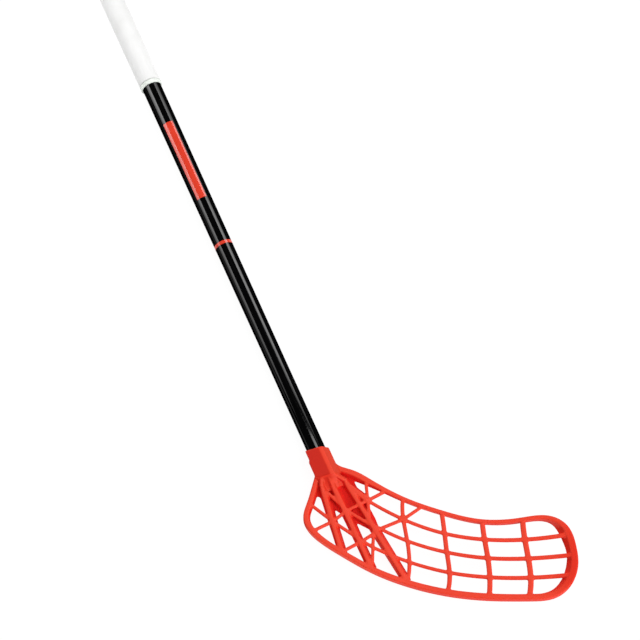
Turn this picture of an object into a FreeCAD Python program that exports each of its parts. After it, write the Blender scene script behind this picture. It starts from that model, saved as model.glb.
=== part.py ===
import FreeCAD, Part
import math
import os
import Sketcher
from FreeCAD import Placement, Rotation, Vector

# A floorball stick that lies on its back with the forehand side of the blade up.
# The origin is the middle of the butt face, +Y points out of the butt along the shaft,
# +X is the side that the blade points to, and +Z comes out of the blade's forehand face.

doc = FreeCAD.newDocument("FloorballStick")
sheet = doc.addObject("Spreadsheet::Sheet", "Sizes")

DRIVING_SIZES = [
    # Shaft tube
    ("shaft_length", 750),
    ("foot_diameter", 19.5),
    ("top_diameter", 21.8),
    ("tube_wall", 1.5),
    ("straight_length", 143),
    # Blade socket and its screw
    ("socket_depth", 30),
    ("glue_thickness", 0.3),
    ("socket_clearance", 0.05),
    ("screw_distance", 15),
    ("screw_diameter", 3.5),
    ("screw_length", 9),
    ("screw_point", 2),
    ("screw_head_diameter", 7),
    ("screw_head_height", 2.2),
    ("screw_recess_diameter", 3.6),
    ("screw_recess_depth", 1.2),
    # Grip, its collar and the butt cap
    ("grip_span", 240),
    ("grip_diameter", 26.2),
    ("grip_low_diameter", 25),
    ("grip_taper_length", 90),
    ("adhesive_thickness", 0.2),
    ("collar_height", 5),
    ("collar_diameter", 25.4),
    ("collar_bevel", 0.8),
    ("collar_groove", 0.6),
    ("cap_flange", 4),
    ("cap_diameter", 25.8),
    ("cap_bevel", 1.2),
    ("cap_plug_length", 28),
    ("cap_clearance", 0.05),
    # Red label and ring, measured up the shaft from the hosel mouth
    ("film_thickness", 0.12),
    ("film_bond", 0.05),
    ("label_distance", 321.5),
    ("label_length", 104),
    ("label_angle", 63.5),
    ("label_turn", 8.5),
    ("ring_distance", 259.5),
    ("ring_width", 3.8),
    # Hosel
    ("hosel_floor", 3),
    ("hosel_half_width", 12.5),
    ("hosel_back_half_width", 10),
    ("hosel_slant", 2.8),
    ("hosel_back", 13),
    ("hosel_back_bevel", 4.5),
    ("hosel_edge_bevel", 1.5),
    ("hosel_ridge", 12.9),
    ("hosel_ridge_offset", 1.5),
    ("hosel_ridge_flat", 4),
    ("hosel_left_shoulder", 7.1),
    ("hosel_right_shoulder", 5.1),
    ("hosel_pad_distance", 9.5),
    ("hosel_pad_length", 19),
    ("hosel_pad_depth", 4),
    ("hosel_pad_height", 1),
    ("tail_length", 13),
    ("tail_depth", 7.2),
    # Blade
    ("blade_length", 279),
    ("blade_drop", 140),
    ("blade_lie", 30),
    ("blade_depth", 9.5),
    ("bend_start", 94),
    ("hook_rise", 22),
    ("rim_width", 5),
    ("rim_draft", 2.6),
    ("rib_width", 3),
    ("upright_width", 4.2),
    ("rib_depth", 3),
    ("rib_setback", 0.6),
    ("brace_width", 4),
    ("brace_back_width", 10.5),
    ("web_thickness", 2.5),
    ("cut_overrun", 2),
]

for row, (alias, value) in enumerate(DRIVING_SIZES, start=1):
    sheet.set("A%d" % row, alias)
    sheet.set("B%d" % row, str(value))
    sheet.setAlias("B%d" % row, alias)
doc.recompute()


def size(alias):
    return float(sheet.get(alias))


def origin_plane(body, role):
    return next(plane for plane in body.Origin.OriginFeatures if plane.Role == role)


# Formulas of the sheet, as depths below the butt face and radii about the shaft axis.
MOUTH_DEPTH = "Sizes.shaft_length - Sizes.socket_depth"
TAPER_DEPTH = "Sizes.shaft_length - Sizes.straight_length"
FOOT_RADIUS = "Sizes.foot_diameter / 2"
TOP_RADIUS = "Sizes.top_diameter / 2"
GRIP_END = "Sizes.grip_span - Sizes.collar_height - Sizes.collar_groove"


def tapered_radius(depth):
    rise = "(Sizes.top_diameter - Sizes.foot_diameter) / 2"
    above = "(%s - (%s))" % (TAPER_DEPTH, depth)
    taper_length = "(%s - Sizes.grip_span)" % TAPER_DEPTH
    return "%s + %s * %s / %s" % (FOOT_RADIUS, rise, above, taper_length)


# Every turned piece is a closed profile in the XY plane, spun about the Y axis.
# A corner is its radius and its depth below the origin, each a formula of the sheet.
def turned_body(label, corners):
    body = doc.addObject("PartDesign::Body", label)
    sketch = body.newObject("Sketcher::SketchObject", label + "_profile")
    sketch.AttachmentSupport = [(origin_plane(body, "XY_Plane"), "")]
    sketch.MapMode = "FlatFace"
    places = []
    for radius, depth in corners:
        across = float(sheet.evalExpression(radius))
        down = float(sheet.evalExpression(depth))
        places.append(Vector(across, -down, 0))
    count = len(places)
    for index in range(count):
        sketch.addGeometry(Part.LineSegment(places[index], places[(index + 1) % count]), False)
    for index in range(count):
        sketch.addConstraint(Sketcher.Constraint("Coincident", index, 2, (index + 1) % count, 1))
    for index, (radius, depth) in enumerate(corners):
        if radius == "0":
            sketch.addConstraint(Sketcher.Constraint("PointOnObject", index, 1, -2))
        else:
            across = Sketcher.Constraint("DistanceX", -1, 1, index, 1, places[index].x)
            number = sketch.addConstraint(across)
            sketch.setExpression("Constraints[%d]" % number, radius)
        if depth == "0":
            sketch.addConstraint(Sketcher.Constraint("PointOnObject", index, 1, -1))
        else:
            down = Sketcher.Constraint("DistanceY", index, 1, -1, 1, -places[index].y)
            number = sketch.addConstraint(down)
            sketch.setExpression("Constraints[%d]" % number, depth)
    turn = body.newObject("PartDesign::Revolution", label + "_turn")
    turn.Profile = sketch
    turn.ReferenceAxis = (sketch, ["V_Axis"])
    doc.recompute()
    return body, turn


# The screw's pilot hole goes through the back wall of the piece only.
def drill_pilot_hole(body):
    before = body.Shape.Volume
    sketch = body.newObject("Sketcher::SketchObject", body.Label + "_pilot_sketch")
    sketch.AttachmentSupport = [(origin_plane(body, "XY_Plane"), "")]
    sketch.MapMode = "FlatFace"
    down = size("shaft_length") - size("socket_depth") + size("screw_distance")
    radius = size("screw_diameter") / 2
    sketch.addGeometry(Part.Circle(Vector(0, -down, 0), Vector(0, 0, 1), radius), False)
    sketch.addConstraint(Sketcher.Constraint("PointOnObject", 0, 3, -2))
    number = sketch.addConstraint(Sketcher.Constraint("DistanceY", 0, 3, -1, 1, down))
    sketch.setExpression("Constraints[%d]" % number, MOUTH_DEPTH + " + Sizes.screw_distance")
    number = sketch.addConstraint(Sketcher.Constraint("Radius", 0, radius))
    sketch.setExpression("Constraints[%d]" % number, "Sizes.screw_diameter / 2")
    hole = body.newObject("PartDesign::Pocket", body.Label + "_pilot_hole")
    hole.Profile = sketch
    hole.setExpression("Length", "Sizes.foot_diameter / 2 + Sizes.glue_thickness + Sizes.cut_overrun")
    doc.recompute()
    if not body.Shape.Volume < before:
        raise RuntimeError("the pilot hole misses " + body.Label)


# The shaft: straight where the blade holds it, tapered up to the grip, straight under the grip.
shaft_tube, _ = turned_body("shaft_tube", [
    (TOP_RADIUS, "Sizes.cap_flange"),
    (TOP_RADIUS, "Sizes.grip_span"),
    (FOOT_RADIUS, TAPER_DEPTH),
    (FOOT_RADIUS, "Sizes.shaft_length"),
    (FOOT_RADIUS + " - Sizes.tube_wall", "Sizes.shaft_length"),
    (FOOT_RADIUS + " - Sizes.tube_wall", TAPER_DEPTH),
    (TOP_RADIUS + " - Sizes.tube_wall", "Sizes.grip_span"),
    (TOP_RADIUS + " - Sizes.tube_wall", "Sizes.cap_flange"),
])
drill_pilot_hole(shaft_tube)

# The hot-melt layer fills the room between the tube and the socket, below the slanted mouth.
GLUE_TOP = MOUTH_DEPTH + " + Sizes.hosel_slant"
hosel_glue, _ = turned_body("hosel_glue", [
    (FOOT_RADIUS, GLUE_TOP),
    (FOOT_RADIUS + " + Sizes.glue_thickness", GLUE_TOP),
    (FOOT_RADIUS + " + Sizes.glue_thickness", "Sizes.shaft_length"),
    (FOOT_RADIUS, "Sizes.shaft_length"),
])
drill_pilot_hole(hosel_glue)

# The film that bonds the grip, and the grip itself, which swells a little towards the butt.
grip_adhesive, _ = turned_body("grip_adhesive", [
    (TOP_RADIUS, "Sizes.cap_flange"),
    (TOP_RADIUS + " + Sizes.adhesive_thickness", "Sizes.cap_flange"),
    (TOP_RADIUS + " + Sizes.adhesive_thickness", GRIP_END),
    (TOP_RADIUS, GRIP_END),
])
grip_wrap, _ = turned_body("grip_wrap", [
    (TOP_RADIUS + " + Sizes.adhesive_thickness", "Sizes.cap_flange"),
    ("Sizes.grip_diameter / 2", "Sizes.cap_flange"),
    ("Sizes.grip_diameter / 2", GRIP_END + " - Sizes.grip_taper_length"),
    ("Sizes.grip_low_diameter / 2", GRIP_END),
    (TOP_RADIUS + " + Sizes.adhesive_thickness", GRIP_END),
])

# The ring that covers the lower end of the grip, with a fine groove between the two.
grip_collar, _ = turned_body("grip_collar", [
    (TOP_RADIUS, "Sizes.grip_span - Sizes.collar_height"),
    ("Sizes.collar_diameter / 2", "Sizes.grip_span - Sizes.collar_height"),
    ("Sizes.collar_diameter / 2", "Sizes.grip_span - Sizes.collar_bevel"),
    ("Sizes.collar_diameter / 2 - Sizes.collar_bevel", "Sizes.grip_span"),
    (TOP_RADIUS, "Sizes.grip_span"),
])

# The butt cap: a flange that ends the grip and a plug in the tube.
PLUG_RADIUS = TOP_RADIUS + " - Sizes.tube_wall - Sizes.cap_clearance"
butt_cap, _ = turned_body("butt_cap", [
    ("0", "0"),
    ("Sizes.cap_diameter / 2 - Sizes.cap_bevel", "0"),
    ("Sizes.cap_diameter / 2", "Sizes.cap_bevel"),
    ("Sizes.cap_diameter / 2", "Sizes.cap_flange"),
    (PLUG_RADIUS, "Sizes.cap_flange"),
    (PLUG_RADIUS, "Sizes.cap_flange + Sizes.cap_plug_length"),
    ("0", "Sizes.cap_flange + Sizes.cap_plug_length"),
])


# A film on the tapered stretch runs from one depth to the other, over its own thin bond.
def film_corners(top, bottom):
    inside = " + Sizes.film_bond"
    outside = inside + " + Sizes.film_thickness"
    return [
        (tapered_radius(top) + inside, top),
        (tapered_radius(top) + outside, top),
        (tapered_radius(bottom) + outside, bottom),
        (tapered_radius(bottom) + inside, bottom),
    ]


# The bare red label is a patch on the front of the tube, turned a little away from the blade's tip.
LABEL_BOTTOM = MOUTH_DEPTH + " - Sizes.label_distance"
label_film, label_turn = turned_body(
    "label_film", film_corners(LABEL_BOTTOM + " - Sizes.label_length", LABEL_BOTTOM)
)
label_turn.Midplane = True
label_turn.setExpression("Angle", "Sizes.label_angle")
label_film.Placement = Placement(Vector(0, 0, 0), Rotation(Vector(0, 1, 0), -90))
label_film.setExpression("Placement.Rotation.Angle", "-90 - Sizes.label_turn")

# The red ring goes all round.
RING_BOTTOM = MOUTH_DEPTH + " - Sizes.ring_distance"
ring_film, _ = turned_body(
    "ring_film", film_corners(RING_BOTTOM + " - Sizes.ring_width", RING_BOTTOM)
)

# The countersunk screw, its head flush with the back of the hosel and its point in the tube.
blade_screw, _ = turned_body("blade_screw", [
    ("0", "Sizes.screw_recess_depth"),
    ("Sizes.screw_recess_diameter / 2", "0"),
    ("Sizes.screw_head_diameter / 2", "0"),
    ("Sizes.screw_diameter / 2", "Sizes.screw_head_height"),
    ("Sizes.screw_diameter / 2", "Sizes.screw_length - Sizes.screw_point"),
    ("0", "Sizes.screw_length"),
])
blade_screw.Placement = Placement(Vector(0, 0, 0), Rotation(Vector(1, 0, 0), -90))
blade_screw.setExpression("Placement.Base.y", "-(%s + Sizes.screw_distance)" % MOUTH_DEPTH)
blade_screw.setExpression("Placement.Base.z", "-Sizes.hosel_back")

# The blade is one moulding. Its lattice is laid out from the middle of the hosel mouth:
# along the blade as shares of blade_length, and down from the mouth as shares of blade_drop.

# Outline from the hosel round the heel, the bottom edge, the tip and the top edge back to it:
# share along, share down, share of rim_width, share of rim_draft.
OUTLINE_SHARES = [
    (0.008, 0.156, 1.00, 1.0),
    (0.001, 0.270, 0.94, 0.8),
    (-0.009, 0.413, 0.93, 0.7),
    (-0.016, 0.547, 0.96, 0.7),
    (0.009, 0.631, 0.98, 0.7),
    (0.053, 0.698, 0.88, 0.5),
    (0.146, 0.792, 0.82, 0.4),
    (0.254, 0.884, 0.85, 0.4),
    (0.383, 0.955, 0.92, 0.4),
    (0.537, 0.999, 0.96, 0.4),
    (0.691, 1.005, 0.98, 0.4),
    (0.838, 0.986, 0.95, 0.7),
    (0.936, 0.942, 1.05, 1.5),
    (0.984, 0.835, 1.22, 1.9),
    (0.997, 0.685, 1.25, 1.7),
    (0.986, 0.570, 1.18, 1.2),
    (0.948, 0.413, 1.05, 1.6),
    (0.892, 0.352, 0.78, 0.4),
    (0.777, 0.378, 0.72, -0.3),
    (0.634, 0.410, 0.72, -0.5),
    (0.483, 0.366, 0.70, -0.6),
    (0.336, 0.290, 0.74, -0.6),
    (0.211, 0.185, 0.92, 0.0),
    (0.139, 0.127, 1.10, 0.8),
    (0.096, 0.108, 1.10, 1.0),
    (0.056, 0.049, 1.10, 1.0),
]

# Uprights from heel to tip. Each runs from the top rim over three long ribs to the bottom rim.
# The first value of each is its share of upright_width.
UPRIGHT_SHARES = [
    (0.76, [(0.341, 0.299), (0.351, 0.464), (0.374, 0.626), (0.390, 0.785), (0.390, 0.942)]),
    (0.92, [(0.490, 0.385), (0.508, 0.540), (0.523, 0.682), (0.540, 0.834), (0.540, 0.977)]),
    (1.04, [(0.642, 0.427), (0.656, 0.559), (0.674, 0.699), (0.687, 0.843), (0.691, 0.985)]),
    (1.12, [(0.789, 0.399), (0.802, 0.538), (0.820, 0.680), (0.834, 0.824), (0.834, 0.970)]),
]

# The long ribs start in the heel and end on the rim of the tip. From upright to upright they get
# wider, by these shares of rib_width.
LONG_RIB_START_SHARES = [(0.212, 0.350), (0.252, 0.541), (0.254, 0.707)]
LONG_RIB_END_SHARES = [(0.964, 0.478), (0.979, 0.634), (0.979, 0.785)]
LONG_RIB_WIDTH_SHARES = [0.80, 0.85, 0.92, 1.02, 1.12, 1.20]

# Knots of the heel's truss, and the ribs that run from knot to knot, narrower than the long ribs.
TRUSS_WIDTH_SHARE = 0.83
KNOT_SHARES = {
    "heel": (0.092, 0.542),
    "pocket": (0.139, 0.447),
    "high": (0.212, 0.350),
    "low": (0.209, 0.666),
    "middle": (0.246, 0.549),
    "brace_side": (0.227, 0.494),
    "middle_low": (0.254, 0.574),
    "upright": (0.351, 0.464),
    "low_rib": (0.254, 0.707),
    "strut": (0.250, 0.692),
    "strut_head": (0.248, 0.600),
    "strut_foot": (0.257, 0.863),
    "tail_side": (0.056, 0.320),
    "rim_left_high": (-0.003, 0.425),
    "rim_left_low": (0.021, 0.636),
    "rim_top_near": (0.196, 0.199),
    "rim_top_middle": (0.275, 0.260),
    "rim_top_far": (0.415, 0.349),
    "rim_bottom": (0.139, 0.767),
}
TRUSS_RIBS = [
    ["rim_left_high", "heel", "low", "low_rib"],
    ["rim_left_low", "heel", "pocket", "high", "rim_top_middle"],
    ["tail_side", "pocket", "middle"],
    ["rim_top_near", "high", "brace_side"],
    ["middle", "strut", "strut_foot"],
    ["rim_top_far", "upright", "middle_low"],
    ["rim_bottom", "low", "strut_head"],
]

# Deep braces run from the end of the hosel to the bottom rim. The first value of each is the
# share of hosel_half_width at which it leaves the hosel. Then come its points, each with the
# share of its full width there.
BRACE_SHARES = [
    (-0.60, [(0.034, 0.277, 1.0), (0.079, 0.494, 0.95), (0.104, 0.610, 0.88), (0.139, 0.772, 0.88)]),
    (-0.05, [(0.133, 0.455, 1.0), (0.206, 0.702, 0.90), (0.252, 0.858, 0.90)]),
    (0.32, [(0.119, 0.216, 1.0), (0.145, 0.288, 0.9), (0.172, 0.360, 0.8), (0.218, 0.482, 0.85),
            (0.244, 0.551, 1.0), (0.383, 0.920, 0.90)]),
]
BRANCH_SHARES = [(0.131, 0.250, 1.0), (0.212, 0.350, 1.0)]

# A brace starts at this share of the hosel's height, and its back leans by this share of its width.
BRACE_HEAD_SHARE = 0.93
BRACE_LEAN_SHARE = 0.18

# The thin web closes the back of the heel under the hosel.
WEB_SHARES = [
    (0.003, 0.256), (0.010, 0.347), (0.031, 0.346), (0.056, 0.399), (0.092, 0.427),
    (0.132, 0.477), (0.252, 0.571), (0.262, 0.530), (0.246, 0.468), (0.207, 0.352), (0.181, 0.292),
    (0.153, 0.206), (0.132, 0.135), (0.082, 0.106),
]

# The tail below the hosel: shares of the hosel's width and height at its start, then the share
# of the hosel's width at its end, where it drops to the web in one step.
TAIL_START_SHARES = (0.92, 0.90)
TAIL_END_WIDTH_SHARE = 0.92

# Ribs and braces stop inside the rim, this share of its width from its outer edge.
CLIP_SHARE = 0.3

# Where the lower cutting plane touches the bend, as a share of blade_length.
BEND_TOUCH_SHARE = 0.68

blade_length = size("blade_length")
blade_drop = size("blade_drop")
blade_depth = size("blade_depth")
bend_start = size("bend_start")
hook_rise = size("hook_rise")
overrun = size("cut_overrun")
hosel_length = size("socket_depth") + size("hosel_floor")
hosel_slope = size("hosel_slant") / size("hosel_half_width")
tail_end_down = hosel_length + size("tail_length")
lie = math.radians(size("blade_lie"))
bend_run = blade_length - bend_start
bend_radius = (bend_run ** 2 + hook_rise ** 2) / (2 * hook_rise)


def place(shares):
    return Vector(shares[0] * blade_length, -shares[1] * blade_drop, 0)


# A place beside the shaft axis, given across it and down from the mouth, in the blade's layout.
def beside_shaft(across, down):
    return Vector(
        across * math.cos(lie) + down * math.sin(lie),
        across * math.sin(lie) - down * math.cos(lie),
        0,
    )


def down_from_mouth(point):
    return point.x * math.sin(lie) - point.y * math.cos(lie)


# Height of the blade's bent middle surface.
def bend_height(along):
    if along <= bend_start:
        return 0.0
    return bend_radius - math.sqrt(bend_radius ** 2 - (along - bend_start) ** 2)


# A layer of the bent blade, between two offsets from its middle surface.
def bent_layer(low, high):
    near = -blade_drop
    side = -blade_drop - overrun
    far_angle = math.asin((bend_run + size("rim_width")) / (bend_radius - high))

    def bent(offset, angle):
        reach = bend_radius - offset
        along = bend_start + reach * math.sin(angle)
        return Vector(along, side, bend_radius - reach * math.cos(angle))

    def arc(offset):
        return Part.Arc(bent(offset, 0), bent(offset, far_angle / 2), bent(offset, far_angle))

    edges = [
        Part.LineSegment(Vector(near, side, low), bent(low, 0)),
        arc(low),
        Part.LineSegment(bent(low, far_angle), bent(high, far_angle)),
        arc(high),
        Part.LineSegment(bent(high, 0), Vector(near, side, high)),
        Part.LineSegment(Vector(near, side, high), Vector(near, side, low)),
    ]
    wire = Part.Wire(Part.__sortEdges__([edge.toShape() for edge in edges]))
    return Part.Face(wire).extrude(Vector(0, 2 * blade_drop, 0))


# A smooth curve through the points, and the same closed by a straight edge.
def smooth_curve(points):
    curve = Part.BSplineCurve()
    curve.interpolate(points)
    return curve


def closed_curve(points):
    return Part.Wire([smooth_curve(points).toShape(), Part.makeLine(points[-1], points[0])])


# The outline moved inwards, at each of its points by one share of the rim's width there.
def inset_outline(share):
    points = [place(row) for row in OUTLINE_SHARES]
    curve = smooth_curve(points)
    moved = []
    inwards = []
    for point, row in zip(points, OUTLINE_SHARES):
        tangent = curve.tangent(curve.parameter(point))[0]
        inward = Vector(-tangent.y, tangent.x, 0).normalize()
        moved.append(point + inward * (share * row[2] * size("rim_width")))
        inwards.append(inward)
    return moved, inwards


# The two long sides of a strip along a row of points, mitred at each, with its width at each.
def strip_sides(points, widths):
    steps = [(b - a).normalize() for a, b in zip(points, points[1:])]
    left = []
    right = []
    for index, point in enumerate(points):
        before = steps[max(index - 1, 0)]
        after = steps[min(index, len(steps) - 1)]
        normal = Vector(-before.y - after.y, before.x + after.x, 0)
        mitre = normal * (widths[index] / 2 / (1 + before.dot(after)))
        left.append(point + mitre)
        right.append(point - mitre)
    return left, right


def strip_outline(points, widths):
    left, right = strip_sides(points, widths)
    return left + right[::-1]


def polygon_at(points, height):
    raised = [Vector(point.x, point.y, height) for point in points]
    return Part.makePolygon(raised + raised[:1])


def through_all(wire):
    face = Part.Face(wire)
    face.translate(Vector(0, 0, -blade_depth))
    return face.extrude(Vector(0, 0, hook_rise + 2 * blade_depth))


# A rib with straight runs, or one that bends smoothly from end to end.
def straight_rib(points, width):
    return through_all(polygon_at(strip_outline(points, [width] * len(points)), 0))


def smooth_rib(points, widths):
    left, right = strip_sides(points, widths)
    edges = [smooth_curve(left).toShape(), smooth_curve(right).toShape()]
    edges.append(Part.makeLine(left[0], right[0]))
    edges.append(Part.makeLine(left[-1], right[-1]))
    return through_all(Part.Wire(Part.__sortEdges__(edges)))


# The rim's opening: its wall leans from the front to the back of the bent blade.
def rim_opening():
    fronts, inwards = inset_outline(1)
    touch = BEND_TOUCH_SHARE * blade_length
    low_slope = (touch - bend_start) / (bend_radius - bend_height(touch))
    low_at_touch = bend_height(touch) - blade_depth / 2 - overrun
    high_slope = hook_rise / blade_length
    high_at_heel = blade_depth / 2 + overrun
    low_points = []
    high_points = []
    for front, inward, row in zip(fronts, inwards, OUTLINE_SHARES):
        back = front + inward * (row[3] * size("rim_draft"))
        front.z = bend_height(front.x) + blade_depth / 2
        back.z = bend_height(back.x) - blade_depth / 2
        lean = front - back
        to_low = low_at_touch + low_slope * (back.x - touch) - back.z
        to_high = high_at_heel + high_slope * back.x - back.z
        low_points.append(back + lean * (to_low / (lean.z - low_slope * lean.x)))
        high_points.append(back + lean * (to_high / (lean.z - high_slope * lean.x)))
    return Part.makeLoft([closed_curve(low_points), closed_curve(high_points)], True, True)


# Height of the hosel's front over a place across it.
def hosel_front(across):
    ridge = size("hosel_ridge_offset")
    ridge_end = ridge + size("hosel_ridge_flat")
    half = size("hosel_half_width")
    if across < ridge:
        fall = (size("hosel_ridge") - size("hosel_left_shoulder")) / (ridge + half)
        return size("hosel_ridge") - fall * (ridge - across)
    fall = (size("hosel_ridge") - size("hosel_right_shoulder")) / (half - ridge_end)
    return size("hosel_ridge") - fall * max(0, across - ridge_end)


# A deep brace is narrow at the front and wide at the back.
def deep_brace(points, width_shares):
    front_sides = strip_outline(points, [share * size("brace_width") for share in width_shares])
    back_sides = strip_outline(points, [share * size("brace_back_width") for share in width_shares])
    lean = Vector(BRACE_LEAN_SHARE * size("brace_back_width"), 0, 0)
    front = polygon_at(front_sides, blade_depth / 2)
    back = polygon_at([corner + lean for corner in back_sides], -blade_depth / 2)
    return Part.makeLoft([back, front], True, True)


# The head of a brace climbs from the blade's front to the end of the hosel, beside the tail.
def brace_ramp(points, head_height):
    width = size("brace_width")
    head_down = down_from_mouth(points[0])
    pieces = []
    for start, end in zip(points, points[1:]):
        if down_from_mouth(start) >= tail_end_down:
            break
        run = down_from_mouth(end) - down_from_mouth(start)
        part_share = min(1, (tail_end_down - down_from_mouth(start)) / run)
        end = start + (end - start) * part_share
        heights = []
        for point in (start, end):
            fallen_share = (down_from_mouth(point) - head_down) / (tail_end_down - head_down)
            heights.append(head_height + (blade_depth / 2 - head_height) * fallen_share)
        along = (end - start).normalize()
        across = Vector(-along.y, along.x, 0) * width
        low = -blade_depth / 2
        corners = [
            Vector(start.x, start.y, low),
            Vector(start.x, start.y, heights[0]),
            Vector(end.x, end.y, heights[1]),
            Vector(end.x, end.y, low),
        ]
        plate = Part.Face(Part.makePolygon(corners + corners[:1]))
        plate.translate(across * -0.5)
        pieces.append(plate.extrude(across))
        post = Vector(start.x, start.y, low)
        pieces.append(Part.makeCylinder(width / 2, heights[0] - low, post))
    return pieces


def blade_lattice():
    outer = through_all(closed_curve(inset_outline(0)[0]))
    clip = through_all(closed_curve(inset_outline(CLIP_SHARE)[0]))
    rim = bent_layer(-blade_depth / 2, blade_depth / 2).common(outer).cut(rim_opening())
    rib_top = blade_depth / 2 - size("rib_setback")
    rib_layer = bent_layer(rib_top - size("rib_depth"), rib_top).common(clip)
    ribs = []
    for width_share, rows in UPRIGHT_SHARES:
        width = width_share * size("upright_width")
        ribs.append(smooth_rib([place(row) for row in rows], [width] * len(rows)))
    for level, start in enumerate(LONG_RIB_START_SHARES):
        rows = [start] + [upright[level + 1] for _, upright in UPRIGHT_SHARES]
        rows.append(LONG_RIB_END_SHARES[level])
        widths = [share * size("rib_width") for share in LONG_RIB_WIDTH_SHARES]
        ribs.append(smooth_rib([place(row) for row in rows], widths))
    truss_width = TRUSS_WIDTH_SHARE * size("rib_width")
    for names in TRUSS_RIBS:
        ribs.append(straight_rib([place(KNOT_SHARES[name]) for name in names], truss_width))
    members = [rib.common(rib_layer) for rib in ribs]
    for across_share, rows in BRACE_SHARES:
        across = across_share * size("hosel_half_width")
        head_down = hosel_length + across * hosel_slope - overrun
        points = [beside_shaft(across, head_down)] + [place(row) for row in rows]
        width_shares = [rows[0][2]] + [row[2] for row in rows]
        members.append(deep_brace(points, width_shares).common(clip))
        members += brace_ramp(points, BRACE_HEAD_SHARE * hosel_front(across))
    branch = [place(row) for row in BRANCH_SHARES]
    members.append(deep_brace(branch, [row[2] for row in BRANCH_SHARES]))
    web = Part.Face(polygon_at([place(row) for row in WEB_SHARES], -blade_depth / 2))
    members.append(web.extrude(Vector(0, 0, size("web_thickness"))))
    return rim.multiFuse(members)


# The hosel's section, looking down the shaft: a roof with a flat ridge off the middle. Both ends
# of the hosel are slanted, so the section's right side lies further down than its left.
def hosel_section(down, width_share, depth_share, middle, slope):
    half = size("hosel_half_width")
    back_half = size("hosel_back_half_width")
    back = -size("hosel_back")
    waist = back + size("hosel_back_bevel")
    flat_half = back_half - size("hosel_edge_bevel")
    ridge = size("hosel_ridge_offset")
    corners = [
        (ridge, size("hosel_ridge")),
        (ridge + size("hosel_ridge_flat"), size("hosel_ridge")),
        (half, size("hosel_right_shoulder")),
        (back_half, waist),
        (flat_half, back),
        (-flat_half, back),
        (-back_half, waist),
        (-half, size("hosel_left_shoulder")),
    ]
    points = []
    for x, z in corners:
        across = x * width_share
        points.append(Vector(across, -down - across * slope, middle + z * depth_share))
    return Part.makePolygon(points + points[:1])


def hosel():
    mouth = hosel_section(0, 1, 1, 0, hosel_slope)
    sleeve = Part.Face(mouth).extrude(Vector(0, -hosel_length, 0))
    start_width_share, start_depth_share = TAIL_START_SHARES
    end_depth_share = size("tail_depth") / (size("hosel_back") + size("hosel_ridge"))
    end_middle = size("hosel_back") * end_depth_share - blade_depth / 2
    tail_start = hosel_section(hosel_length, start_width_share, start_depth_share, 0, hosel_slope)
    tail_end = hosel_section(tail_end_down, TAIL_END_WIDTH_SHARE, end_depth_share, end_middle, 0)
    tail = Part.makeLoft([tail_start, tail_end], True, True)
    pad_reach = size("hosel_half_width") + size("hosel_pad_height")
    pad_foot = -size("hosel_pad_distance") - size("hosel_pad_length")
    pad_back = size("hosel_left_shoulder") - size("hosel_pad_depth")
    pad = Part.makeBox(
        pad_reach, size("hosel_pad_length"), size("hosel_pad_depth"),
        Vector(-pad_reach, pad_foot, pad_back),
    )
    return [sleeve, tail, pad]


# The socket for the tube and the countersunk hole for the screw.
def socket_and_screw_hole():
    bore = size("foot_diameter") / 2 + size("glue_thickness") + size("socket_clearance")
    above = size("hosel_slant") + overrun
    depth = size("socket_depth") + above
    socket = Part.makeCylinder(bore, depth, Vector(0, above, 0), Vector(0, -1, 0))
    seat = Vector(0, -size("screw_distance"), -size("hosel_back"))
    head = size("screw_head_diameter") / 2
    shank = size("screw_diameter") / 2
    countersink = Part.makeCone(head, shank, size("screw_head_height"), seat, Vector(0, 0, 1))
    pilot = Part.makeCylinder(shank, size("hosel_back"), seat, Vector(0, 0, 1))
    return [socket, countersink, pilot]


moulding = blade_lattice()
moulding.rotate(Vector(0, 0, 0), Vector(0, 0, 1), -size("blade_lie"))
moulding = moulding.multiFuse(hosel())
for hole in socket_and_screw_hole():
    moulding = moulding.cut(hole)
moulding = moulding.removeSplitter()
if len(moulding.Solids) != 1:
    raise RuntimeError("the blade falls into %d pieces" % len(moulding.Solids))

blade = doc.addObject("Part::Feature", "blade")
blade.Shape = moulding.Solids[0]
blade.Placement = Placement(Vector(0, 0, 0), Rotation())
blade.setExpression("Placement.Base.y", "-(%s)" % MOUTH_DEPTH)

doc.recompute()

SUB_PARTS = [
    shaft_tube, blade, blade_screw, hosel_glue, grip_adhesive,
    grip_wrap, grip_collar, butt_cap, label_film, ring_film,
]
for item in doc.Objects:
    if "Invalid" in item.State or "Error" in item.State:
        raise RuntimeError("%s failed: %s" % (item.Label, item.State))
for sub_part in SUB_PARTS:
    if sub_part.Shape.isNull() or not sub_part.Shape.isValid():
        raise RuntimeError("%s has no valid shape" % sub_part.Label)

os.makedirs("parts", exist_ok=True)
for sub_part in SUB_PARTS:
    sub_part.Shape.exportStep("parts/%s.step" % sub_part.Label)
    print("%-14s %10.1f mm3" % (sub_part.Label, sub_part.Shape.Volume))
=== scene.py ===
import math

import bpy
from mathutils import Matrix, Vector


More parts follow.
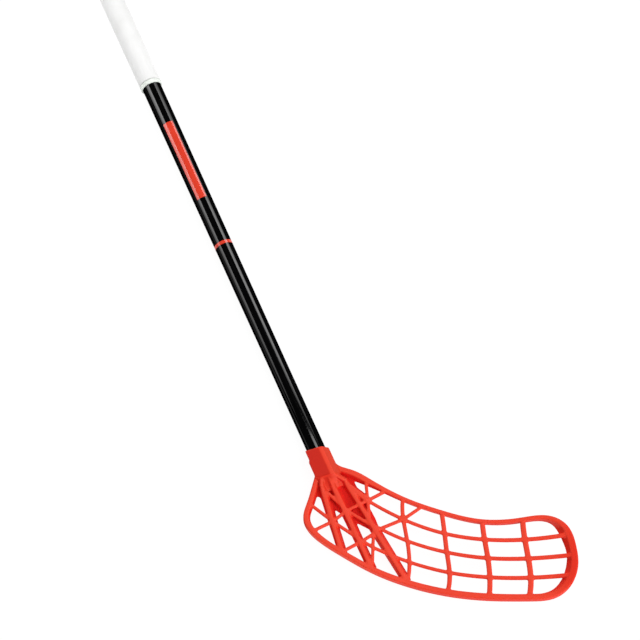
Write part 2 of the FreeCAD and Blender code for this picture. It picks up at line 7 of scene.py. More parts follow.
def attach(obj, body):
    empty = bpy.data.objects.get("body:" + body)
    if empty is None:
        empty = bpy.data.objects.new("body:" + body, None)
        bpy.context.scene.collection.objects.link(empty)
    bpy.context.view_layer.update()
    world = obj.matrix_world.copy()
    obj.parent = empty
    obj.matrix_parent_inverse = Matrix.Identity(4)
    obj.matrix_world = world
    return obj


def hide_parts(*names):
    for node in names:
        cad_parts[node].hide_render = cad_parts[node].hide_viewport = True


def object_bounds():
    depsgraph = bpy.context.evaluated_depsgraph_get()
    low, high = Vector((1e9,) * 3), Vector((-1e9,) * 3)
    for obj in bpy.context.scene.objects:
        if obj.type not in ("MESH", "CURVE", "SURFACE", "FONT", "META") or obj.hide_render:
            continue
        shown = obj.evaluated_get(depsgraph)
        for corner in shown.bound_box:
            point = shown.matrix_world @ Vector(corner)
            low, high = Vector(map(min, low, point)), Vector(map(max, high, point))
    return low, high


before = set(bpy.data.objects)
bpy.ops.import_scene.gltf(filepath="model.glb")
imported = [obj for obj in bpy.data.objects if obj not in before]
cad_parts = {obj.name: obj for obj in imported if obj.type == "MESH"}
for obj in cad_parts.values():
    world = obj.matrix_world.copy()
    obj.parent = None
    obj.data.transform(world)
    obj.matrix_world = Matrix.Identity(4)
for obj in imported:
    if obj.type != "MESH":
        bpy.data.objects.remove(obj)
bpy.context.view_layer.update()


# Shaft: a tapered tube, wound from fibre and resin and sprayed with gloss black lacquer.
# The grip, the printed films and the blade are all fixed to it.
shaft_length = 0.750
shaft_wall = 0.0015
foot_radius = 0.00975
top_radius = 0.0109
taper_end = 0.607
grip_span = 0.240
cap_flange = 0.004
shaft_rounding = 0.0002
lacquer_black = (0.0016, 0.0016, 0.0017)
scratched_black = (0.005, 0.005, 0.0053)
shaft_rings = [
    (top_radius, cap_flange), (top_radius, grip_span),
    (foot_radius, taper_end), (foot_radius, shaft_length),
    (foot_radius - shaft_wall, shaft_length), (foot_radius - shaft_wall, taper_end),
    (top_radius - shaft_wall, grip_span), (top_radius - shaft_wall, cap_flange),
]
seam_weld = 0.00003
bevel_weld = 0.00001
bevelled_angle = math.radians(30)
smooth_angle = math.radians(35)


# A turned piece grows from ring to ring, each a radius and a depth below the butt face.
def turn_piece(name, rings, sides=96):
    bpy.ops.object.select_all(action="DESELECT")
    radius, depth = rings[0]
    bpy.ops.mesh.primitive_circle_add(
        vertices=sides, radius=radius, location=(0, -depth, 0), rotation=(math.radians(90), 0, 0)
    )
    piece = bpy.context.object
    piece.name = name
    bpy.ops.object.transform_apply(location=True, rotation=True, scale=True)
    bpy.ops.object.mode_set(mode="EDIT")
    bpy.ops.mesh.select_mode(type="VERT")
    bpy.ops.mesh.select_all(action="SELECT")
    for next_radius, next_depth in rings[1:]:
        bpy.ops.mesh.extrude_region_move(TRANSFORM_OT_translate={"value": (0, depth - next_depth, 0)})
        growth = next_radius / radius
        bpy.ops.transform.resize(value=(growth, 1, growth), center_override=(0, -next_depth, 0))
        radius, depth = next_radius, next_depth
    bpy.ops.mesh.select_all(action="SELECT")
    bpy.ops.mesh.remove_doubles(threshold=seam_weld)
    bpy.ops.mesh.normals_make_consistent(inside=False)
    bpy.ops.object.mode_set(mode="OBJECT")
    return piece


def round_edges(piece, width):
    rounding = piece.modifiers.new("rounding", "BEVEL")
    rounding.limit_method = "ANGLE"
    rounding.angle_limit = bevelled_angle
    rounding.width = width
    rounding.segments = 3
    bpy.ops.object.modifier_apply(modifier=rounding.name)
    bpy.ops.object.mode_set(mode="EDIT")
    bpy.ops.mesh.select_all(action="SELECT")
    bpy.ops.mesh.remove_doubles(threshold=bevel_weld)
    bpy.ops.object.mode_set(mode="OBJECT")
    bpy.ops.object.shade_smooth_by_angle(angle=smooth_angle)


def stand_for(piece, node):
    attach(piece, "root")
    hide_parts(node)


def start_finish(name):
    finish = bpy.data.materials.new(name)
    finish.use_nodes = True
    nodes = finish.node_tree.nodes
    return finish, nodes, finish.node_tree.links, nodes["Principled BSDF"]


def put_on(piece, finish):
    piece.data.materials.clear()
    piece.data.materials.append(finish)


def start_effect(name, inputs, outputs):
    effect = bpy.data.node_groups.new(name, "ShaderNodeTree")
    for label, kind, value in inputs:
        socket = effect.interface.new_socket(label, in_out="INPUT", socket_type=kind)
        if value is not None:
            socket.default_value = value
    for label in outputs:
        effect.interface.new_socket(label, in_out="OUTPUT", socket_type="NodeSocketFloat")
    start = effect.nodes.new("NodeGroupInput")
    end = effect.nodes.new("NodeGroupOutput")
    return effect, effect.nodes, effect.links, start, end


def place_effect(nodes, links, effect, where, **values):
    node = nodes.new("ShaderNodeGroup")
    node.node_tree = effect
    links.new(where, node.inputs["Vector"])
    for label, value in values.items():
        node.inputs[label.replace("_", " ")].default_value = value
    return node


def add_math(nodes, links, operation, first, second):
    node = nodes.new("ShaderNodeMath")
    node.operation = operation
    for socket, value in zip(node.inputs, (first, second)):
        if isinstance(value, (int, float)):
            socket.default_value = value
        else:
            links.new(value, socket)
    return node.outputs["Value"]


def add_range(nodes, links, value, low, high, to_low, to_high):
    node = nodes.new("ShaderNodeMapRange")
    limits = {"From Min": low, "From Max": high, "To Min": to_low, "To Max": to_high}
    for label, number in limits.items():
        node.inputs[label].default_value = number
    links.new(value, node.inputs["Value"])
    return node.outputs["Result"]


# A mask is 0 at its first limit and 1 at its second.
def add_mask(nodes, links, value, limits):
    return add_range(nodes, links, value, *limits, 0, 1)


def add_blend(nodes, links, share, first, second):
    node = nodes.new("ShaderNodeMix")
    node.data_type = "RGBA"
    colour_inputs = [socket for socket in node.inputs if socket.type == "RGBA"]
    for socket, value in zip(colour_inputs, (first, second)):
        if isinstance(value, tuple):
            socket.default_value = (*value, 1)
        else:
            links.new(value, socket)
    links.new(share, node.inputs["Factor"])
    return next(socket for socket in node.outputs if socket.type == "RGBA")


handling_marks, nodes, links, start, end = start_effect(
    "handling_marks",
    [("Vector", "NodeSocketVector", None), ("Smudge Scale", "NodeSocketFloat", 25.0),
     ("Scratch Scale", "NodeSocketFloat", 400.0)],
    ["Smudges", "Scratches"],
)
smudge = nodes.new("ShaderNodeTexNoise")
smudge.inputs["Detail"].default_value = 4
links.new(start.outputs["Vector"], smudge.inputs["Vector"])
links.new(start.outputs["Smudge Scale"], smudge.inputs["Scale"])
links.new(add_mask(nodes, links, smudge.outputs["Fac"], (0.45, 0.72)), end.inputs["Smudges"])
stretch = nodes.new("ShaderNodeMapping")
stretch.inputs["Scale"].default_value = (1, 0.04, 1)
links.new(start.outputs["Vector"], stretch.inputs["Vector"])
scratch = nodes.new("ShaderNodeTexNoise")
scratch.inputs["Detail"].default_value = 2
links.new(stretch.outputs["Vector"], scratch.inputs["Vector"])
links.new(start.outputs["Scratch Scale"], scratch.inputs["Scale"])
links.new(add_mask(nodes, links, scratch.outputs["Fac"], (0.6, 0.75)), end.inputs["Scratches"])

black_lacquer, nodes, links, shader = start_finish("black_lacquer")
where = nodes.new("ShaderNodeTexCoord").outputs["Object"]
marks = place_effect(nodes, links, handling_marks, where, Smudge_Scale=18.0, Scratch_Scale=500.0)
scratches = marks.outputs["Scratches"]
shaft_colour = add_blend(nodes, links, scratches, lacquer_black, scratched_black)
links.new(shaft_colour, shader.inputs["Base Color"])
shader.inputs["Specular IOR Level"].default_value = 0
links.new(add_range(nodes, links, marks.outputs["Smudges"], 0, 1, 0.32, 0.45), shader.inputs["Roughness"])
tilt = nodes.new("ShaderNodeLayerWeight").outputs["Facing"]
gloss = add_mask(nodes, links, tilt, (0.4, 0.16))
worn_gloss = add_range(nodes, links, scratches, 0, 1, 1, 0.85)
links.new(add_math(nodes, links, "MULTIPLY", gloss, worn_gloss), shader.inputs["Coat Weight"])
shader.inputs["Coat Roughness"].default_value = 0.1

shaft = turn_piece("lacquered_shaft", shaft_rings + shaft_rings[:1])
round_edges(shaft, shaft_rounding)
put_on(shaft, black_lacquer)
stand_for(shaft, "shaft_tube")


# Label and ring: thin red printed films under a clear coat, bonded to the tube. The label is a
# bare patch on the front of the shaft, and the ring goes all the way round below it.
film_bond = 0.00005
film_thickness = 0.00012
label_top = 0.2945
label_bottom = 0.3985
label_edges = (math.radians(-40.25), math.radians(23.25))
ring_top = 0.4567
ring_bottom = 0.4605
printed_red = (0.71, 0.051, 0.025)
smudged_red = (0.67, 0.046, 0.022)


def under_film(depth):
    taper_share = (taper_end - depth) / (taper_end - grip_span)
    return foot_radius + (top_radius - foot_radius) * taper_share + film_bond


def film_rings(top, bottom):
    return [
        (under_film(top), top), (under_film(top) + film_thickness, top),
        (under_film(bottom) + film_thickness, bottom), (under_film(bottom), bottom),
        (under_film(top), top),
    ]


red_print, nodes, links, shader = start_finish("red_print")
where = nodes.new("ShaderNodeTexCoord").outputs["Object"]
marks = place_effect(nodes, links, handling_marks, where, Smudge_Scale=60.0, Scratch_Scale=700.0)
print_colour = add_blend(nodes, links, marks.outputs["Smudges"], printed_red, smudged_red)
links.new(print_colour, shader.inputs["Base Color"])
links.new(add_range(nodes, links, marks.outputs["Scratches"], 0, 1, 0.35, 0.5), shader.inputs["Roughness"])
shader.inputs["Specular IOR Level"].default_value = 0
links.new(add_range(nodes, links, marks.outputs["Scratches"], 0, 1, 1, 0.85), shader.inputs["Coat Weight"])
shader.inputs["Coat Roughness"].default_value = 0.12

label = turn_piece("bare_label", film_rings(label_top, label_bottom), sides=180)
bpy.ops.object.mode_set(mode="EDIT")
for edge_angle, side in zip(label_edges, (-1, 1)):
    bpy.ops.mesh.select_all(action="SELECT")
    outward = (side * math.cos(edge_angle), 0, -side * math.sin(edge_angle))
    bpy.ops.mesh.bisect(plane_co=(0, 0, 0), plane_no=outward, use_fill=True, clear_outer=True)
bpy.ops.object.mode_set(mode="OBJECT")
bpy.ops.object.shade_smooth_by_angle(angle=smooth_angle)
put_on(label, red_print)
stand_for(label, "label_film")

ring = turn_piece("red_ring", film_rings(ring_top, ring_bottom))
bpy.ops.object.shade_smooth_by_angle(angle=smooth_angle)
put_on(ring, red_print)
stand_for(ring, "ring_film")


# Hot-melt layer: amber glue that was poured into the socket before the tube went in.
# Only its thin edge shows at the mouth of the hosel.
clear_amber = (0.42, 0.27, 0.10)
cloudy_amber = (0.55, 0.40, 0.18)

fine_grain, nodes, links, start, end = start_effect(
    "fine_grain",
    [("Vector", "NodeSocketVector", None), ("Grain Scale", "NodeSocketFloat", 1500.0),
     ("Cloud Scale", "NodeSocketFloat", 40.0)],
    ["Grain", "Clouds"],
)
for scale, detail, result in (("Grain Scale", 2, "Grain"), ("Cloud Scale", 3, "Clouds")):
    noise = nodes.new("ShaderNodeTexNoise")
    noise.inputs["Detail"].default_value = detail
    links.new(start.outputs["Vector"], noise.inputs["Vector"])
    links.new(start.outputs[scale], noise.inputs["Scale"])
    links.new(add_mask(nodes, links, noise.outputs["Fac"], (0.3, 0.7)), end.inputs[result])

amber_glue, nodes, links, shader = start_finish("amber_glue")
where = nodes.new("ShaderNodeTexCoord").outputs["Object"]
grain = place_effect(nodes, links, fine_grain, where, Grain_Scale=900.0, Cloud_Scale=300.0)
glue_colour = add_blend(nodes, links, grain.outputs["Clouds"], clear_amber, cloudy_amber)
links.new(glue_colour, shader.inputs["Base Color"])
links.new(add_range(nodes, links, grain.outputs["Grain"], 0, 1, 0.25, 0.4), shader.inputs["Roughness"])
put_on(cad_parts["hosel_glue"], amber_glue)


# Blade: one injection moulding in orange-red plastic, with its lattice, braces and hosel. Its front,
# back and sole are matt and its walls polished. Its colour holds painted light and shade: the matt
# faces have a paler lit red with a little painted sheen, the sole is paler still towards the heel as
# painted light, and the walls, the low web, the hosel's sides, the pocket and the tip are darker as
# painted shade. Every edge is a little round, and the inside of a corner has a fillet.
blade_weld = 0.00002
skin_grid = 0.00045
swellings = (0.0003, 0.0004, -0.00022)
lattice_start = -0.745
lattice_run = 0.02
blade_triangles = 190000


def skin_over(piece, smoothing):
    skin = piece.modifiers.new("skin", "REMESH")
    skin.mode = "VOXEL"
    skin.voxel_size = skin_grid
    bpy.ops.object.modifier_apply(modifier=skin.name)
    soften = piece.modifiers.new("soften", "SMOOTH")
    soften.factor = 0.5
    soften.iterations = smoothing
    bpy.ops.object.modifier_apply(modifier=soften.name)


# Only the lattice swells, so that the hosel keeps its bore.
def swell_lattice(piece, swelling):
    lattice = piece.vertex_groups.new(name="lattice")
    for corner in piece.data.vertices:
        share = (lattice_start - corner.co.y) / lattice_run
        lattice.add([corner.index], min(1, max(0, share)), "REPLACE")
    swell = piece.modifiers.new("swell", "DISPLACE")
    swell.strength = swelling
    swell.mid_level = 0
    swell.vertex_group = lattice.name
    bpy.ops.object.modifier_apply(modifier=swell.name)
    piece.vertex_groups.clear()


bpy.ops.object.select_all(action="DESELECT")
blade = bpy.data.objects.new("moulded_blade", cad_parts["blade"].data.copy())
bpy.context.scene.collection.objects.link(blade)
bpy.context.view_layer.objects.active = blade
blade.select_set(True)
bpy.ops.object.mode_set(mode="EDIT")
bpy.ops.mesh.select_all(action="SELECT")
bpy.ops.mesh.remove_doubles(threshold=blade_weld)
bpy.ops.object.mode_set(mode="OBJECT")
skin_over(blade, 1)
for swelling in swellings:
    swell_lattice(blade, swelling)
    skin_over(blade, 1)
skin_over(blade, 2)
thin = blade.modifiers.new("thin", "DECIMATE")
thin.ratio = min(1, blade_triangles / (2 * len(blade.data.polygons)))
bpy.ops.object.modifier_apply(modifier=thin.name)
bpy.ops.object.shade_smooth()

# Convex edges give a mask for wear and a painted highlight, and hollows give a mask for painted shade.
edge_wear_and_shade, nodes, links, start, end = start_effect(
    "edge_wear_and_shade",
    [("Vector", "NodeSocketVector", None), ("Spread", "NodeSocketFloat", 0.08)],
    ["Edges", "Crease Shade"],
)
patches = nodes.new("ShaderNodeTexNoise")
patches.inputs["Scale"].default_value = 90
links.new(start.outputs["Vector"], patches.inputs["Vector"])
bend = nodes.new("ShaderNodeNewGeometry").outputs["Pointiness"]
bend = add_math(nodes, links, "SUBTRACT", bend, 0.5)
level = add_math(nodes, links, "DIVIDE", bend, start.outputs["Spread"])
edges = add_mask(nodes, links, level, (0.15, 1))
links.new(add_math(nodes, links, "MULTIPLY", edges, patches.outputs["Fac"]), end.inputs["Edges"])
links.new(add_mask(nodes, links, level, (-0.15, -1)), end.inputs["Crease Shade"])

blade_lie = math.radians(30)
along_blade = (math.cos(blade_lie), -math.sin(blade_lie), 0)
down_blade = (-math.sin(blade_lie), -math.cos(blade_lie), 0)
front_lean = (0.35, 0.65)
back_lean = (-0.5, -0.85)
sole_lean = (0.5, 0.7)
left_lean = (-0.1, -0.4)
right_lean = (0.2, 0.45)
raised_height = (-0.0016, 0.0004)
hosel_depth = (-0.772, -0.762)
pocket_centre = (0.020, -0.783, 0)
pocket_reach = (0.055, 0.030)
sole_run = (0.40, 0.50)
tip_run = (0.614, 0.634)
# Towards the tip the lit red fades into the wall red as painted shade, and the coat thins there.
tip_shade = 0.75
# The lit red and the wall red are lit and shaded copies of one plastic: the lit red carries a little
# painted sheen, and the wall red is painted shade.
lit_matt_red = (0.77, 0.050, 0.022)
pale_lit_matt_red = (0.82, 0.056, 0.026)
shaded_wall_red = (0.70, 0.024, 0.012)
pale_shaded_wall_red = (0.74, 0.028, 0.014)
# The hosel's two sloping sides are darker reds as painted shade, the left one most.
left_side_shade_red = (0.63, 0.020, 0.010)
right_side_shade_red = (0.66, 0.042, 0.016)
# The sole, the rim's outer wall, is painted in a lit red that is palest at the heel, as painted light.
heel_sole_lit_red = (1.0, 0.066, 0.031)
tip_sole_lit_red = (0.82, 0.046, 0.024)
# The pocket by the hosel is a darker red as painted shade.
pocket_shade_red = (0.75, 0.021, 0.016)
# Convex edges turn paler, partly as wear and partly as a painted highlight.
worn_and_highlit_red = (1.0, 0.10, 0.05)
# Hollows and creases turn a darker red as painted shade.
crease_shade_red = (0.60, 0.012, 0.008)
blade_grain = 0.00003


def add_reach(nodes, links, operation, vector, other):
    node = nodes.new("ShaderNodeVectorMath")
    node.operation = operation
    links.new(vector, node.inputs[0])
    node.inputs[1].default_value = other
    return node.outputs["Value"]


def add_bump(nodes, links, shader, height, depth):
    node = nodes.new("ShaderNodeBump")
    node.inputs["Distance"].default_value = depth
    links.new(height, node.inputs["Height"])
    links.new(node.outputs["Normal"], shader.inputs["Normal"])


blade_plastic, nodes, links, shader = start_finish("blade_plastic")
surface = nodes.new("ShaderNodeTexCoord")
where = surface.outputs["Object"]
grain = place_effect(nodes, links, fine_grain, where, Grain_Scale=1600.0, Cloud_Scale=22.0)
wear_and_shade = place_effect(nodes, links, edge_wear_and_shade, where, Spread=0.08)
lean = nodes.new("ShaderNodeSeparateXYZ")
links.new(surface.outputs["Normal"], lean.inputs["Vector"])
place = nodes.new("ShaderNodeSeparateXYZ")
links.new(where, place.inputs["Vector"])
run = add_reach(nodes, links, "DOT_PRODUCT", where, along_blade)
front = add_mask(nodes, links, lean.outputs["Z"], front_lean)
raised = add_mask(nodes, links, place.outputs["Z"], raised_height)
# Painted shade towards the tip: less of the lit red and less coat.
tip_lit_share = add_range(nodes, links, run, *tip_run, 1, 1 - tip_shade)
matt_and_lit = add_math(nodes, links, "MULTIPLY", front, add_math(nodes, links, "MULTIPLY", raised, tip_lit_share))
matt_and_lit = add_math(nodes, links, "MAXIMUM", matt_and_lit, add_mask(nodes, links, lean.outputs["Z"], back_lean))
from_pocket = add_reach(nodes, links, "DISTANCE", where, pocket_centre)
pocket = add_mask(nodes, links, from_pocket, pocket_reach)
open_side = add_math(nodes, links, "SUBTRACT", 1, pocket)
faces_down = add_reach(nodes, links, "DOT_PRODUCT", surface.outputs["Normal"], down_blade)
sole = add_math(nodes, links, "MULTIPLY", add_mask(nodes, links, faces_down, sole_lean), open_side)
matt_and_lit = add_math(nodes, links, "MAXIMUM", matt_and_lit, sole)
hosel = add_mask(nodes, links, place.outputs["Y"], hosel_depth)
hosel_front = add_math(nodes, links, "MULTIPLY", front, hosel)
leans_left = add_mask(nodes, links, lean.outputs["X"], left_lean)
leans_right = add_mask(nodes, links, lean.outputs["X"], right_lean)
# The hosel's sloping sides are painted darker, as painted shade.
left_side_shade = add_math(nodes, links, "MULTIPLY", hosel_front, leans_left)
right_side_shade = add_math(nodes, links, "MULTIPLY", hosel_front, leans_right)
polished_and_shaded = add_math(nodes, links, "SUBTRACT", 1, matt_and_lit)
# Painted shade in the pocket, on all but its matt faces.
pocket_shade = add_math(nodes, links, "MULTIPLY", pocket, polished_and_shaded)
# Painted light on the sole, strongest at the heel and less towards the tip.
toward_tip = add_mask(nodes, links, run, sole_run)
clouds = grain.outputs["Clouds"]
lit_matt_colour = add_blend(nodes, links, clouds, lit_matt_red, pale_lit_matt_red)
shaded_wall_colour = add_blend(nodes, links, clouds, shaded_wall_red, pale_shaded_wall_red)
sole_lit_colour = add_blend(nodes, links, toward_tip, heel_sole_lit_red, tip_sole_lit_red)
blade_colour = add_blend(nodes, links, left_side_shade, lit_matt_colour, left_side_shade_red)
blade_colour = add_blend(nodes, links, right_side_shade, blade_colour, right_side_shade_red)
blade_colour = add_blend(nodes, links, sole, blade_colour, sole_lit_colour)
# Walls and the low web take the wall red as painted shade, and the matt faces keep the lit red.
blade_colour = add_blend(nodes, links, matt_and_lit, shaded_wall_colour, blade_colour)
blade_colour = add_blend(nodes, links, pocket_shade, blade_colour, pocket_shade_red)
# Paler edges: wear and a painted highlight.
blade_colour = add_blend(nodes, links, wear_and_shade.outputs["Edges"], blade_colour, worn_and_highlit_red)
# Darker hollows and creases: painted shade.
blade_colour = add_blend(nodes, links, wear_and_shade.outputs["Crease Shade"], blade_colour, crease_shade_red)
links.new(blade_colour, shader.inputs["Base Color"])
shader.inputs["Specular IOR Level"].default_value = 0
links.new(add_range(nodes, links, grain.outputs["Grain"], 0, 1, 0.42, 0.52), shader.inputs["Roughness"])
links.new(add_range(nodes, links, matt_and_lit, 0, 1, 0.02, 0.3), shader.inputs["Coat Weight"])
shader.inputs["Coat Roughness"].default_value = 0.4
add_bump(nodes, links, shader, grain.outputs["Grain"], blade_grain)
put_on(blade, blade_plastic)
stand_for(blade, "blade")


# Screw: a zinc-plated countersunk screw with a cross recess. It is driven through the back of
# the hosel into the tube, so that the blade can't work loose from its glue.
screw_seat = (0, -0.735, -0.013)
screw_length = 0.009
screw_radius = 0.00175
screw_head_radius = 0.0035
screw_head_height = 0.0022
screw_head_bevel = 0.0002
thread_root = 0.0014
thread_start = 0.0026
thread_pitch = 0.0009
thread_flat = 0.0003
thread_crest = 0.00055
thread_end = 0.0072
recess_reach = 0.0036
recess_slot = 0.0008
recess_height = 0.0024
recess_taper = 0.55
pole = 0.00001
bright_zinc = (0.62, 0.63, 0.64)
dull_zinc = (0.50, 0.50, 0.49)
screw_rings = [
    (pole, 0), (screw_head_radius - screw_head_bevel, 0), (screw_head_radius, screw_head_bevel),
    (screw_radius, screw_head_height),
]
for turn in range(5):
    thread = thread_start + thread_pitch * turn
    screw_rings += [(thread_root, thread), (thread_root, thread + thread_flat)]
    screw_rings += [(screw_radius, thread + thread_crest)]
screw_rings += [(thread_root, thread_end), (pole, screw_length)]
screw = turn_piece("countersunk_screw", screw_rings, sides=48)
screw.rotation_euler = (math.radians(-90), 0, 0)
screw.location = screw_seat
bpy.ops.object.transform_apply(location=True, rotation=True, scale=True)
for length, width in ((recess_reach, recess_slot), (recess_slot, recess_reach)):
    bpy.ops.object.select_all(action="DESELECT")
    bpy.ops.mesh.primitive_cube_add(size=1, location=screw_seat)
    cutter = bpy.context.object
    cutter.scale = (length, width, recess_height)
    bpy.ops.object.transform_apply(location=True, rotation=True, scale=True)
    for face in cutter.data.polygons:
        face.select = face.normal.z > 0.5
    bpy.ops.object.mode_set(mode="EDIT")
    bpy.ops.mesh.select_mode(type="FACE")
    bpy.ops.transform.resize(value=(recess_taper, recess_taper, 1), center_override=screw_seat)
    bpy.ops.object.mode_set(mode="OBJECT")
    recess = screw.modifiers.new("recess", "BOOLEAN")
    recess.operation = "DIFFERENCE"
    recess.object = cutter
    bpy.ops.object.select_all(action="DESELECT")
    bpy.context.view_layer.objects.active = screw
    screw.select_set(True)
    bpy.ops.object.modifier_apply(modifier=recess.name)
    bpy.data.objects.remove(cutter)
bpy.ops.object.shade_smooth_by_angle(angle=smooth_angle)

zinc_plate, nodes, links, shader = start_finish("zinc_plate")
where = nodes.new("ShaderNodeTexCoord").outputs["Object"]
marks = place_effect(nodes, links, handling_marks, where, Smudge_Scale=900.0, Scratch_Scale=2500.0)
zinc_colour = add_blend(nodes, links, marks.outputs["Smudges"], bright_zinc, dull_zinc)
links.new(zinc_colour, shader.inputs["Base Color"])
shader.inputs["Metallic"].default_value = 1
links.new(add_range(nodes, links, marks.outputs["Scratches"], 0, 1, 0.28, 0.5), shader.inputs["Roughness"])
put_on(screw, zinc_plate)
stand_for(screw, "blade_screw")


# Grip film: the double-sided film that bonds the grip to the tube. It shows only as a thin line
# at the grip's lower end.
backing_grey = (0.50, 0.50, 0.48)
pale_backing_grey = (0.62, 0.62, 0.60)

film_backing, nodes, links, shader = start_finish("film_backing")
where = nodes.new("ShaderNodeTexCoord").outputs["Object"]
grain = place_effect(nodes, links, fine_grain, where, Grain_Scale=1200.0, Cloud_Scale=200.0)
backing_colour = add_blend(nodes, links, grain.outputs["Clouds"], backing_grey, pale_backing_grey)
links.new(backing_colour, shader.inputs["Base Color"])
links.new(add_range(nodes, links, grain.outputs["Grain"], 0, 1, 0.5, 0.65), shader.inputs["Roughness"])
put_on(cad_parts["grip_adhesive"], film_backing)


# Grip: a sleeve of soft white polyurethane that swells a little towards the butt. It is drawn
# over the film while it is wet, and its skin is smooth with a fine pebble.
grip_radius = 0.0131
grip_low_radius = 0.0125
grip_bore = 0.0111
grip_taper_top = 0.1444
grip_end = 0.2344
grip_rounding = 0.0006
foam_white = (0.83, 0.83, 0.825)
clouded_white = (0.81, 0.81, 0.805)
handled_white = (0.78, 0.78, 0.77)
grip_pebble = 0.00006
grip_rings = [
    (grip_radius, cap_flange), (grip_radius, grip_taper_top), (grip_low_radius, grip_end),
    (grip_bore, grip_end), (grip_bore, cap_flange),
]
grip = turn_piece("soft_grip", grip_rings + grip_rings[:1])
round_edges(grip, grip_rounding)

white_foam, nodes, links, shader = start_finish("white_foam")
where = nodes.new("ShaderNodeTexCoord").outputs["Object"]
grain = place_effect(nodes, links, fine_grain, where, Grain_Scale=1300.0, Cloud_Scale=30.0)
marks = place_effect(nodes, links, handling_marks, where, Smudge_Scale=45.0, Scratch_Scale=300.0)
grip_colour = add_blend(nodes, links, grain.outputs["Clouds"], foam_white, clouded_white)
grip_colour = add_blend(nodes, links, marks.outputs["Smudges"], grip_colour, handled_white)
links.new(grip_colour, shader.inputs["Base Color"])
shader.inputs["Specular IOR Level"].default_value = 0.25
links.new(add_range(nodes, links, grain.outputs["Grain"], 0, 1, 0.55, 0.7), shader.inputs["Roughness"])
add_bump(nodes, links, shader, grain.outputs["Grain"], grip_pebble)
put_on(grip, white_foam)
stand_for(grip, "grip_wrap")


# Collar: a pale rubber ring that is rolled up against the grip to cover its cut end, with a fine
# groove left between the two.
collar_top = 0.235
collar_radius = 0.0127
collar_bevel = 0.0008
collar_rounding = 0.0005
rubber_white = (0.82, 0.86, 0.81)
clouded_rubber = (0.78, 0.82, 0.77)
collar_grain = 0.00003
collar_rings = [
    (collar_radius, collar_top), (collar_radius, grip_span - collar_bevel),
    (collar_radius - collar_bevel, grip_span), (top_radius, grip_span), (top_radius, collar_top),
]
collar = turn_piece("rubber_collar", collar_rings + collar_rings[:1])
round_edges(collar, collar_rounding)

pale_rubber, nodes, links, shader = start_finish("pale_rubber")
where = nodes.new("ShaderNodeTexCoord").outputs["Object"]
grain = place_effect(nodes, links, fine_grain, where, Grain_Scale=1800.0, Cloud_Scale=120.0)
rubber_colour = add_blend(nodes, links, grain.outputs["Clouds"], rubber_white, clouded_rubber)
links.new(rubber_colour, shader.inputs["Base Color"])
shader.inputs["Specular IOR Level"].default_value = 0.25
links.new(add_range(nodes, links, grain.outputs["Grain"], 0, 1, 0.45, 0.6), shader.inputs["Roughness"])
add_bump(nodes, links, shader, grain.outputs["Grain"], collar_grain)
put_on(collar, pale_rubber)
stand_for(collar, "grip_collar")


# Butt cap: a white moulded plug that is pressed into the top of the tube. Its flange ends the
# grip, and a shallow ring is moulded into its end face.
cap_radius = 0.0129
cap_bevel = 0.0012
cap_plug_radius = 0.00935
cap_plug_end = 0.032
cap_groove = (0.0078, 0.0090)
cap_groove_slope = 0.0002
cap_groove_depth = 0.0003
cap_rounding = 0.0003
cap_white = (0.82, 0.82, 0.81)
smudged_white = (0.74, 0.74, 0.73)
cap_grain = 0.00002
cap_rings = [
    (pole, 0), (cap_groove[0], 0), (cap_groove[0] + cap_groove_slope, cap_groove_depth),
    (cap_groove[1] - cap_groove_slope, cap_groove_depth), (cap_groove[1], 0),
    (cap_radius - cap_bevel, 0), (cap_radius, cap_bevel), (cap_radius, cap_flange),
    (cap_plug_radius, cap_flange), (cap_plug_radius, cap_plug_end), (pole, cap_plug_end),
]
cap = turn_piece("butt_plug", cap_rings)
round_edges(cap, cap_rounding)

white_moulding, nodes, links, shader = start_finish("white_moulding")
where = nodes.new("ShaderNodeTexCoord").outputs["Object"]
grain = place_effect(nodes, links, fine_grain, where, Grain_Scale=1600.0, Cloud_Scale=60.0)
marks = place_effect(nodes, links, handling_marks, where, Smudge_Scale=120.0, Scratch_Scale=900.0)
cap_colour = add_blend(nodes, links, marks.outputs["Smudges"], cap_white, smudged_white)
links.new(cap_colour, shader.inputs["Base Color"])
links.new(add_range(nodes, links, grain.outputs["Grain"], 0, 1, 0.35, 0.5), shader.inputs["Roughness"])
add_bump(nodes, links, shader, grain.outputs["Grain"], cap_grain)
put_on(cap, white_moulding)
stand_for(cap, "butt_cap")


# Floor: a plain white sweep that the stick lies on. The camera and reflections see it as white,
# and it throws a soft even light back up at the stick, whose shadow on it is faint.
floor_size = 60
floor_gap = 0.00005
floor_grey = (0.08, 0.08, 0.08)
floor_light = 0.8
floor_white = 0.95
bpy.ops.object.select_all(action="DESELECT")
bpy.ops.mesh.primitive_plane_add(size=floor_size, location=(0, 0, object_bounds()[0][2] - floor_gap))
floor = bpy.context.object
floor.name = "floor"
bpy.ops.object.transform_apply(location=True, rotation=True, scale=True)
pale_floor, nodes, links, shader = start_finish("pale_floor")
nodes.remove(shader)
paint = nodes.new("ShaderNodeBsdfDiffuse")
paint.inputs["Color"].default_value = (*floor_grey, 1)
glow = nodes.new("ShaderNodeEmission")
path = nodes.new("ShaderNodeLightPath")
seen = add_math(nodes, links, "MAXIMUM", path.outputs["Is Camera Ray"], path.outputs["Is Glossy Ray"])
seen = add_math(nodes, links, "MAXIMUM", seen, path.outputs["Is Transmission Ray"])
links.new(add_range(nodes, links, seen, 0, 1, floor_light, floor_white), glow.inputs["Strength"])
both = nodes.new("ShaderNodeAddShader")
links.new(paint.outputs["BSDF"], both.inputs[0])
links.new(glow.outputs["Emission"], both.inputs[1])
links.new(both.outputs["Shader"], nodes["Material Output"].inputs["Surface"])
put_on(floor, pale_floor)


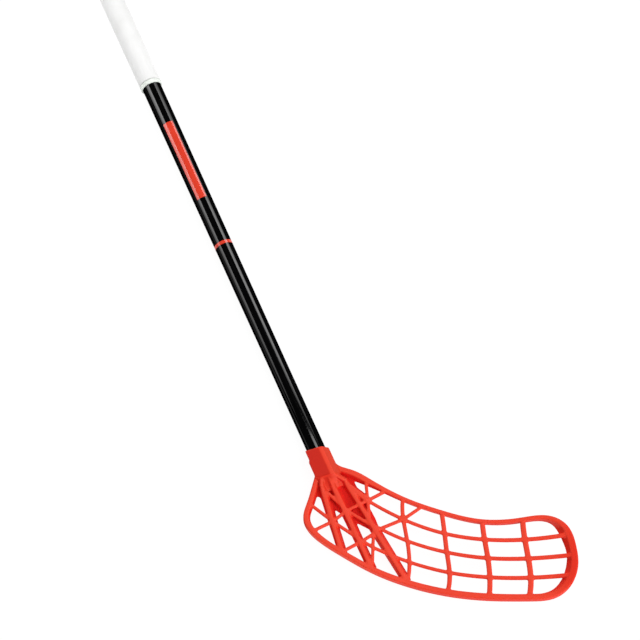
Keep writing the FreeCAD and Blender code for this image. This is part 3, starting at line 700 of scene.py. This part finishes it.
# Studio light: one softbox each side of the shaft, which draw its two soft stripes and fade
# towards the blade, one over the blade and two before it, a weak one at the grip, and a dim
# even fill.
even_glow = [(0.0, 1.0), (1.0, 1.0)]
fill_light = 0.2


# A softbox runs along a direction, and its glow changes on the way by shares of its radiance.
def hang_softbox(name, centre, aim, along, width, length, radiance, shares):
    bpy.ops.object.light_add(type="AREA", location=centre)
    box = bpy.context.object
    box.name = name
    back = (Vector(centre) - Vector(aim)).normalized()
    run = Vector(along)
    run = (run - run.dot(back) * back).normalized()
    turn = Matrix((run.cross(back), run, back)).transposed().to_4x4()
    box.matrix_world = Matrix.Translation(centre) @ turn
    lamp = box.data
    lamp.shape = "RECTANGLE"
    lamp.size = width
    lamp.size_y = length
    lamp.energy = radiance * math.pi * width * length
    lamp.use_nodes = True
    nodes = lamp.node_tree.nodes
    links = lamp.node_tree.links
    split = nodes.new("ShaderNodeSeparateXYZ")
    links.new(nodes.new("ShaderNodeNewGeometry").outputs["Parametric"], split.inputs["Vector"])
    ramp = nodes.new("ShaderNodeValToRGB")
    stops = ramp.color_ramp.elements
    while len(stops) < len(shares):
        stops.new(0.5)
    for stop, (position, share) in zip(stops, shares):
        stop.position = position
        stop.color = (share, share, share, 1)
    links.new(split.outputs["Y"], ramp.inputs["Fac"])
    links.new(ramp.outputs["Color"], nodes["Emission"].inputs["Strength"])
    return box


hang_softbox(
    "left_softbox", centre=(-1.335, 0.425, 0.865), aim=(0, -0.35, 0), along=(0.187, 0.45, 0.277),
    width=0.8, length=1.3, radiance=6.0,
    shares=[(0.0, 0.14), (0.1, 0.2), (0.35, 0.4), (0.75, 0.9), (1.0, 1.0)],
)
hang_softbox(
    "right_softbox", centre=(1.17, 0.3, 1.09), aim=(0, -0.45, 0), along=(0.143, 0.45, -0.171),
    width=0.8, length=1.45, radiance=6.0,
    shares=[(0.0, 0.15), (0.13, 0.3), (0.42, 1.0), (0.75, 0.6), (1.0, 0.5)],
)
hang_softbox(
    "top_softbox", centre=(0.45, -0.85, 1.85), aim=(0.1, -0.8, 0), along=(0, 1, 0),
    width=0.9, length=0.9, radiance=5.0, shares=even_glow,
)
hang_softbox(
    "key_softbox", centre=(1.1, -2.2, 1.4), aim=(0.05, -0.8, 0), along=(0, 0, 1),
    width=1.2, length=1.2, radiance=2.6, shares=even_glow,
)
hang_softbox(
    "low_softbox", centre=(0.3, -2.75, 0.65), aim=(0.05, -0.85, 0), along=(0, 0, 1),
    width=1.2, length=1.2, radiance=5.0, shares=even_glow,
)
grip_softbox = hang_softbox(
    "grip_softbox", centre=(-0.6, 0.1, 0.5), aim=(0, -0.05, 0), along=(0, 1, 0),
    width=0.5, length=0.5, radiance=0.25, shares=even_glow,
)
grip_softbox.data.spread = math.radians(55)
grip_softbox.visible_glossy = False
world = bpy.data.worlds.new("studio")
bpy.context.scene.world = world
world.use_nodes = True
world.node_tree.nodes["Background"].inputs["Color"].default_value = (1, 1, 1, 1)
world.node_tree.nodes["Background"].inputs["Strength"].default_value = fill_light
world.cycles_visibility.glossy = False


# Camera: a long lens from above the blade. It looks along the stick towards the grip, with the
# butt past the top of the picture.
camera_place = Vector((-0.2766, -1.3746, 1.9352))
camera_aim = Vector((0.0624, -0.5825, 0))
bpy.ops.object.camera_add(location=camera_place)
camera = bpy.context.object
camera.rotation_euler = (camera_aim - camera_place).to_track_quat("-Z", "Y").to_euler()
camera.data.lens = 109.97
camera.data.sensor_width = 36
camera.data.clip_start = 0.01
bpy.context.scene.camera = camera
bpy.context.scene.view_settings.view_transform = "Standard"
